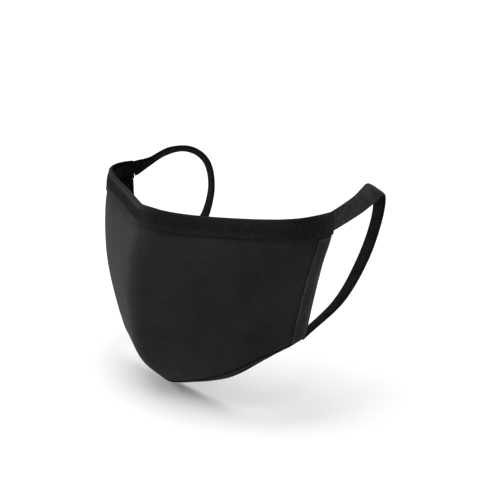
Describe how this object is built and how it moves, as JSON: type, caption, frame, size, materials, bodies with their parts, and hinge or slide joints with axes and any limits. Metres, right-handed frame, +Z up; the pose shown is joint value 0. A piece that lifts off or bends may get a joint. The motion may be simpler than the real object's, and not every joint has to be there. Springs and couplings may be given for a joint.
{
  "type": "cloth face mask",
  "caption": "Black jersey face mask in its worn form: half panels meeting at a centre seam, bound top and chin edges, stitched side hems and flat ear loops.",
  "frame": {"origin": "on the mask's centre plane, level with the middle of the side hems, at the plane where the hems lie against the cheeks", "axes": "+X towards the wearer's left, -Y out from the face through the nose ridge, +Z up; the mask keeps its worn form"},
  "size_m": [0.183, 0.128, 0.1256],
  "materials": {
    "panel_jersey": "black two-layer cotton jersey, matte",
    "binding_rib": "black jersey folded round the edge, ribbed by its cover stitch",
    "side_hem": "black jersey hem with two rows of stitches",
    "ear_loop_knit": "black knitted flat strap"
  },
  "bodies": {
    "root": {"left_panel": "panel_jersey", "right_panel": "panel_jersey", "top_binding": "binding_rib", "bottom_binding": "binding_rib", "left_side_hem": "side_hem", "right_side_hem": "side_hem", "left_ear_loop": "ear_loop_knit", "right_ear_loop": "ear_loop_knit"}
  },
  "joints": []
}
